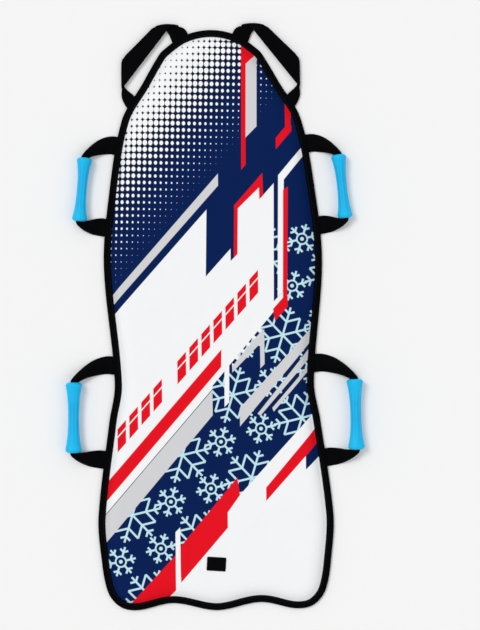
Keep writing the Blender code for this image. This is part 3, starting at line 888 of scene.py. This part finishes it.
def webbing_across(width):
    lanes = [width * (k / LANES + 1) / 2 for k in range(2 * LANES + 1)]
    return lanes + [width + WEBBING_HALF + lane for lane in lanes] + [2 * width + 2 * WEBBING_HALF]


def refined(rings, spacing):
    """Rings on smooth curves through the given rings, about this far apart at most."""
    found = []
    last = len(rings) - 1
    for i in range(last):
        near = (rings[max(i - 1, 0)], rings[i], rings[i + 1], rings[min(i + 2, last)])
        steps = max(1, round(max((b - a).length for a, b in zip(near[1], near[2])) / spacing))
        lines = [smooth_run(*points, steps) for points in zip(*near)]
        found += [list(ring) for ring in zip(*lines)]
    return found + [rings[-1]]


def both_sides(rings, run, round_run, closed=False):
    """A right-hand body and its mirror image, as meshes with the names of their sides."""
    for side, side_name in ((-1, "left"), (1, "right")):
        turned = [[Vector((side * p.x, p.y, p.z)) for p in ring] for ring in rings]
        yield side_name, loft(turned, run, round_run, closed)


CURL_RADIUS = 6.4 * MM
LEG_STEPS = 22
LEG_START = 0.25
LEG_END = 0.33
LEG_ROWS = (19, 14, 9, 5, 3.5, 2, 1)  # millimetres in from the edge
LEG_CURL = ((0.6, 0.8), (0.4, 3))  # weights and powers
MOUTH_LEAD = -0.5 * MM
MOUTH_RADIUS = 5 * MM
MOUTH_STEPS = 6

HANDLES = {  # anchors, slants of the legs in degrees, and the grip's length and radii
    "front": ((NOSE_Y - 0.241, NOSE_Y - 0.413), (50, 34), (0.134, 0.0158, 0.0098)),
    "rear": ((TAIL_Y + 0.517, TAIL_Y + 0.319), (46, 36), (0.148, 0.0175, 0.0108)),
}


def handle_path(half):
    """The webbing of a right-hand handle as places, headings and bends, seam to seam."""
    (upper_y, lower_y), slants, (length, end_radius, _) = HANDLES[half]
    swing, spin = JOINTS[f"handle_swing_{half}_right"], JOINTS[f"grip_spin_{half}_right"]
    pivot, up = Vector(swing["pos_m"]), Vector(swing["axis"]).normalized()
    out = Vector((up.y, -up.x, 0))
    axis = Vector(spin["axis"]).normalized()
    middle = Vector(spin["pos_m"])
    half_span = (edge_at(upper_y) - edge_at(lower_y)).length / 2
    top = end_radius + CURL_RADIUS
    legs = []
    for way, slant in zip((1, -1), (radians(slant) for slant in slants)):
        start = (pivot + up * way * half_span).to_2d().to_3d()
        mouth = (middle + axis * way * (length / 2 + MOUTH_LEAD)).to_2d().to_3d()
        outboard, into = Vector((axis.y, -axis.x, 0)), axis * -way
        turn = []
        for step in range(MOUTH_STEPS + 1):
            angle = slant + (pi / 2 - slant) * step / MOUTH_STEPS
            spoke = outboard * (sin(angle) - 1) - into * cos(angle)
            turn.append((mouth + spoke * MOUTH_RADIUS, outboard * cos(angle) + into * sin(angle)))
        end, arrival = turn[0]
        run = (end - start).length
        handles = start + out * run * LEG_START, end - arrival * run * LEG_END
        line = interpolate_bezier(start, *handles, end, LEG_STEPS + 1)
        leg = []
        for back in LEG_ROWS:
            leg.append((start - out * back * MM + UP * pivot.z, out, 0.0))
        for i in range(LEG_STEPS):
            heading = (line[i + 1] - line[i - 1]).normalized() if i else out
            share = i / LEG_STEPS
            height = pivot.z + (top - pivot.z) * smooth(share)
            curl = sum(weight * share**power for weight, power in LEG_CURL)
            leg.append((line[i] + UP * height, heading, curl / CURL_RADIUS))
        leg += [(place + UP * top, heading, 1 / CURL_RADIUS) for place, heading in turn]
        legs.append(leg)
    return legs[0] + [(place, -heading, bend) for place, heading, bend in reversed(legs[1])]


def handles():
    for half in HANDLES:
        path = handle_path(half)
        rings = []
        for place, heading, bend in path:
            across = Vector((heading.y, -heading.x, 0)).normalized()
            rings.append(webbing_ring(place, across, UP, WEBBING_WIDTH, bend))
        run = lengths([place for place, _, _ in path])
        for side_name, mesh in both_sides(rings, run, webbing_across(WEBBING_WIDTH)):
            name = f"{half}_{side_name}"
            strap = place_mesh(f"handle_webbing_{name}", mesh, WEBBING_LOOK)
            ends = [f"webbing_end_{name}_{which}" for which in ("upper", "lower")]
            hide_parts(f"handle_strap_{name}", *ends)
            hinge_blend(strap, f"handle_swing_{name}")


def hinge_blend(strap, joint):
    """Bakes the webbing's place into its mesh; its joint's line is looked up, but the webbing is
    not bent.
    """
    pivot, axis = Vector(JOINTS[joint]["pos_m"]), Vector(JOINTS[joint]["axis"])
    out = axis.cross(UP).normalized()
    if out.x * pivot.x < 0:
        out.negate()
    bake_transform(strap)


LOOP_LOW, LOOP_HIGH = 3.9 * MM, 8.9 * MM
LOOP_RADIUS = (LOOP_HIGH - LOOP_LOW) / 2
LOOP_REACH = 13.5 * MM  # of the front fold beyond the nose
LOOP_FRONT = NOSE_Y + LOOP_REACH - LOOP_RADIUS - WEBBING_HALF
LOOP_FRONT_EDGES = (66 * MM, 114 * MM)  # in x
LOOP_SIDE = 184.6 * MM
LOOP_SIDE_EDGES = (482.5 * MM, 543 * MM)  # in y
# Pull of the edges at the folds in millimetres: of the first, and of the second at both ends
LOOP_FRONT_PULL = ((0, -2.7), (-4, -4.6), (1, -2.6))
LOOP_SIDE_PULL = ((0, 0), (-2.6, 3.5), (0.5, -9))
LOOP_FOLD_STEPS, LOOP_RUN_STEPS = 6, 9
LOOP_WIDTH = 34 * MM
LOOP_SPARE = 8 * MM
LOOP_ARCH = 2.5 * MM
LOOP_SPACING = 2.5 * MM
# The nose loop's two edges in millimetres, seam to front fold, and last with their height
LOOP_LEG = [
    ((42, 583), (75, 567)),
    ((45, 590), (78, 574.5)),
    ((47.1, 595.6), (80.4, 579.2)),
    ((50, 601.5), (83, 586)),
    ((54, 606.5), (87, 595)),
    ((59, 609.4), (94, 604.5)),
    ((63.5, 610.6), (103, 609.6)),
]
LOOP_LEAVES = ((76, 610.5), (117.5, 609.6))  # where the upper run leaves the front fold
LOOP_RUN = [((89.1, 604.6), (122.5, 606.6)), ((181, 487.8), (178, 552))]
LOOP_LAST = [
    ((187.0, 478), (184.2, 524), 3.9),
    ((187.8, 472.5), (182.8, 503), 4.0),
    ((187.6, 466), (181.4, 486.5), 4.3),
    ((186.0, 459), (177.0, 480.3), 4.2),
    ((183.0, 452), (171.5, 475.2), 4.0),
    ((179.5, 445.5), (164.5, 469.6), 3.9),
    ((175.5, 441), (160.3, 465.2), 3.9),
    ((167.4, 438.5), (152.4, 462.6), 3.9),
]


def fold(pull):
    """Steps round a fold: how far out and up it has turned, and how its two edges are pulled."""
    first, start, end = (Vector((x, y, 0)) * MM for x, y in pull)
    for step in range(LOOP_FOLD_STEPS + 1):
        share = step / LOOP_FOLD_STEPS
        yield sin(pi * share), cos(pi * share), (first, start.lerp(end, share))


def nose_loop_stations():
    """Edge points of the right-hand loop, the webbing's normal and how its edges are pulled."""
    found = []

    def flat(a, b, height, normal):
        edges = [Vector((x * MM, y * MM, height)) for x, y in (a, b)]
        found.append((*edges, normal, (NO_PULL, NO_PULL)))

    for a, b in LOOP_LEG:
        flat(a, b, LOOP_LOW, UP)
    for out, rise, pull in fold(LOOP_FRONT_PULL):
        y, z = LOOP_FRONT + LOOP_RADIUS * out, LOOP_LOW + LOOP_RADIUS * (1 - rise)
        edges = [Vector((x, y, z)) for x in LOOP_FRONT_EDGES]
        found.append((*edges, Vector((0, -out, rise)), pull))
    flat(*LOOP_LEAVES, LOOP_HIGH, -UP)
    first, last = LOOP_RUN
    for step in range(LOOP_RUN_STEPS + 1):
        a, b = (Vector(p).lerp(Vector(q), step / LOOP_RUN_STEPS) for p, q in zip(first, last))
        flat(a, b, LOOP_HIGH, -UP)
    for out, rise, pull in fold(LOOP_SIDE_PULL):
        x, z = LOOP_SIDE + LOOP_RADIUS * out, LOOP_HIGH - LOOP_RADIUS * (1 - rise)
        edges = [Vector((x, y, z)) for y in LOOP_SIDE_EDGES]
        found.append((*edges, Vector((-out, 0, -rise)), pull))
    for a, b, height in LOOP_LAST:
        flat(a, b, height * MM, UP)
    return found


def nose_loops():
    rings = []
    for first, second, normal, pull in nose_loop_stations():
        chord = second - first
        width = chord.length
        spare = max(0.0, min(LOOP_WIDTH, width + LOOP_SPARE) - width)
        arch = min(LOOP_ARCH, sqrt(3 * width * spare / 8))
        arch = -arch if normal.z < 0 else arch
        middle = (first + second) / 2
        rings.append(webbing_ring(middle, chord / width, normal, width, arch=arch, pull=pull))
    rings = refined(rings, LOOP_SPACING)
    run = lengths([ring[LANES] for ring in rings])
    for side_name, mesh in both_sides(rings, run, webbing_across(LOOP_WIDTH)):
        strap = place_mesh(f"nose_webbing_{side_name}", mesh, WEBBING_LOOK)
        ends = [f"loop_end_{side_name}_{which}" for which in ("inner", "outer")]
        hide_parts(f"nose_loop_{side_name}", *ends)
        hinge_blend(strap, f"loop_swing_{side_name}")


# Grips

GRIP_BORE = 8.0 * MM
GRIP_DOME = 6.5 * MM
GRIP_SIDES = 72
GRIP_STEPS = 44
DOME_STEPS = 9
WAIST_POWER = 2.4
GRIP_LIP, GRIP_LIP_ROWS = 0.5 * MM, (1.2 * MM, 4 * MM)  # of the ends, turned into the bore
GRIP_RIDGE, GRIP_LUMP = 0.6 * MM, 0.12 * MM
RIDGE_FADE = 0.3


def grips():
    for half, (_, _, (length, end_radius, waist)) in HANDLES.items():
        reach = length / 2
        profile = []
        for step in range(GRIP_STEPS + 1):
            share = 2 * step / GRIP_STEPS - 1
            radius = waist + (end_radius - waist) * abs(share) ** WAIST_POWER
            profile.append((share * (reach - GRIP_DOME), radius))
        dome = []
        for step in range(1, DOME_STEPS + 1):
            angle = pi / 2 * step / DOME_STEPS
            radius = GRIP_BORE + (end_radius - GRIP_BORE) * cos(angle)
            dome.append((reach - GRIP_DOME * (1 - sin(angle)), radius))
        ends = dome + [(reach - depth, GRIP_BORE - GRIP_LIP) for depth in GRIP_LIP_ROWS]
        profile = [(-along, radius) for along, radius in reversed(ends)] + profile + ends
        spin = JOINTS[f"grip_spin_{half}_right"]
        axis, middle = Vector(spin["axis"]).normalized(), Vector(spin["pos_m"])
        across = axis.cross(UP)
        rings = []
        for along, radius in profile:
            ring = []
            far = abs(along) / (reach - GRIP_DOME) * (1 + RIDGE_FADE) - RIDGE_FADE
            middle_share = 1 - smooth(far)
            for k in range(GRIP_SIDES):
                angle = 2 * pi * k / GRIP_SIDES
                spoke = across * sin(angle) - UP * cos(angle)
                ridge = GRIP_RIDGE * sin(GRIP_RIDGES * angle) * middle_share
                lump = GRIP_LUMP * noise.noise(middle * 20 + axis * along * 60 + spoke * 2)
                out = radius + (ridge + lump if radius > GRIP_BORE else 0.0)
                ring.append(middle + axis * along + spoke * min(out, end_radius))
            rings.append(ring)
        run = [along for along, _ in profile]
        around = [k / GRIP_SIDES for k in range(GRIP_SIDES + 1)]
        for side_name, mesh in both_sides(rings, run + [run[0]], around, closed=True):
            name = f"{half}_{side_name}"
            grip = place_mesh(f"foam_grip_{name}", mesh, GRIP_LOOK)
            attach(grip, f"grip_body_{name}")
            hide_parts(f"grip_{name}")


# Hook patch


PATCH_CORNER = 2.2 * MM
PATCH_LOW = DECK_HEIGHT - 0.3 * MM
PATCH_RISE = [(0, 0), (0, 1.5 * MM), (0.5 * MM, 2.0 * MM)]  # inset and height of its rings
PATCH_TOP = PATCH_LOW + 2.0 * MM
PATCH_WAY = Vector((cos(PATCH_TURN), sin(PATCH_TURN), 0))
QUARTERS = ((1, 1), (-1, 1), (-1, -1), (1, -1))
HOOK_PITCH = 1.55 * MM
HOOK_MARGIN = 2.6 * MM  # between the hooks and the patch's edge
HOOK_LENGTH, HOOK_HALF = 1.0 * MM, 0.32 * MM
BORDER_INSET, BORDER_PITCH = 1.5 * MM, 2.6 * MM
BORDER_LENGTH, BORDER_HALF = 1.9 * MM, 0.3 * MM
THREAD_LIFT = 0.1 * MM


def on_patch(x, y, z):
    """A point given in the patch's own directions, from its middle."""
    across, along = cos(PATCH_TURN), sin(PATCH_TURN)
    return PATCH_PLACE + Vector((x * across - y * along, x * along + y * across, z))


def rounded(shrink, z):
    """The patch's outline with its corners rounded."""
    ring = []
    for quarter, (sx, sy) in enumerate(QUARTERS):
        for step in range(5):
            angle = pi / 2 * (quarter + step / 4)
            x = sx * (PATCH_SIZE[0] / 2 - PATCH_CORNER) + (PATCH_CORNER - shrink) * cos(angle)
            y = sy * (PATCH_SIZE[1] / 2 - PATCH_CORNER) + (PATCH_CORNER - shrink) * sin(angle)
            ring.append(on_patch(x, y, z))
    return ring


def hook_patch():
    """Hook tape with rounded corners, its hooks in even rows and a sewn border."""
    rings = [rounded(shrink, PATCH_LOW + height) for shrink, height in PATCH_RISE]
    mesh = loft(rings, [0.0] * len(rings), [0.0] * (len(rings[0]) + 1))
    flat_map(mesh, mesh.loops.layers.uv.verify(), PATCH_PLACE.xy)
    backing = place_mesh("hook_tape", mesh, HOOK_LOOK)
    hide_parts("hook_patch")

    columns, rows = (int((size / 2 - HOOK_MARGIN) / HOOK_PITCH) for size in PATCH_SIZE)
    hooks = []
    for column in range(-columns, columns + 1):
        for row in range(-rows, rows + 1):
            middle = on_patch(column * HOOK_PITCH, row * HOOK_PITCH, PATCH_TOP + THREAD_LIFT)
            hooks.append((middle, PATCH_WAY, UP, HOOK_LENGTH, HOOK_HALF))
    nap = sewn("hook_nap", hooks, HOOK_LOOK)

    reach_x, reach_y = (size / 2 - BORDER_INSET for size in PATCH_SIZE)
    corners = [on_patch(sx * reach_x, sy * reach_y, PATCH_TOP) for sx, sy in QUARTERS]
    border = []
    for here, there in zip(corners, corners[1:] + corners[:1]):
        run = there - here
        count = round(run.length / BORDER_PITCH)
        for number in range(count):
            middle = here + run * (number + 0.5) / count + UP * THREAD_LIFT
            border.append((middle, run.normalized(), UP, BORDER_LENGTH, BORDER_HALF))
    for piece in (backing, nap, sewn("hook_stitches", border, THREAD_LOOK)):
        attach(piece, "rear_half")


# Floor, camera and light


FLOOR_HALF = 60
FLOOR_DROP = 0.2 * MM
WORLD_LIGHT = 0.62
FLOOR_SEEN = 0.92  # beyond the floor, as bright as it
LAMPS = [  # name, place, strength and spread in degrees
    ("key", (-1.0, 0.75, 1.9), 1.15, 24),
    ("fill", (1.3, -0.6, 1.6), 0.25, 40),
]


def stage():
    floor = bmesh.new()
    bmesh.ops.create_grid(floor, x_segments=2, y_segments=2, size=FLOOR_HALF)
    look = Look("pale_floor", linear(247, 247, 247), 0.9, Specular_IOR_Level=0.1)
    ground = place_mesh("floor", floor, look.made)
    ground.location.z = -FLOOR_DROP

    scene = bpy.context.scene
    scene.view_settings.view_transform = "Standard"
    world = bpy.data.worlds.new("studio")
    world.use_nodes = True
    tree = world.node_tree
    background = tree.nodes["Background"].inputs
    background["Color"].default_value = (1, 1, 1, 1)
    ray = tree.nodes.new("ShaderNodeLightPath").outputs
    seen = Number(tree, ray["Is Camera Ray"]).max(ray["Is Glossy Ray"])
    seen = seen.max(ray["Is Transmission Ray"])
    strength = seen.math("MULTIPLY_ADD", FLOOR_SEEN - WORLD_LIGHT, WORLD_LIGHT)
    feed(tree, background["Strength"], strength)
    scene.world = world
    for name, place, strength, spread in LAMPS:
        lamp = bpy.data.lights.new(name, "SUN")
        lamp.energy, lamp.angle = strength, radians(spread)
        made = bpy.data.objects.new(name, lamp)
        made.location = place
        made.rotation_mode = "QUATERNION"
        made.rotation_quaternion = (-Vector(place)).to_track_quat("-Z", "Y")
        scene.collection.objects.link(made)


CAMERA_PLACE = (0.0557, 0.00326, 5.0)
CAMERA_ROLL = -0.0122
SENSOR = 36.0
LEVEL = 20 * MM  # height at which the picture is measured
FRAME_HEIGHT = 1.3205  # of that level, from top to bottom of the picture


def camera():
    lens = bpy.data.cameras.new("photo_view")
    lens.sensor_width = SENSOR
    lens.lens = SENSOR * (CAMERA_PLACE[2] - LEVEL) / FRAME_HEIGHT
    lens.clip_end = 50
    made = bpy.data.objects.new("photo_view", lens)
    made.location = CAMERA_PLACE
    made.rotation_euler = (0, 0, CAMERA_ROLL)
    bpy.context.scene.collection.objects.link(made)
    bpy.context.scene.camera = made


deck_pad()
base_sheet()
edge_tape()
edge_stitches()
handles()
nose_loops()
grips()
hook_patch()
stage()
camera()
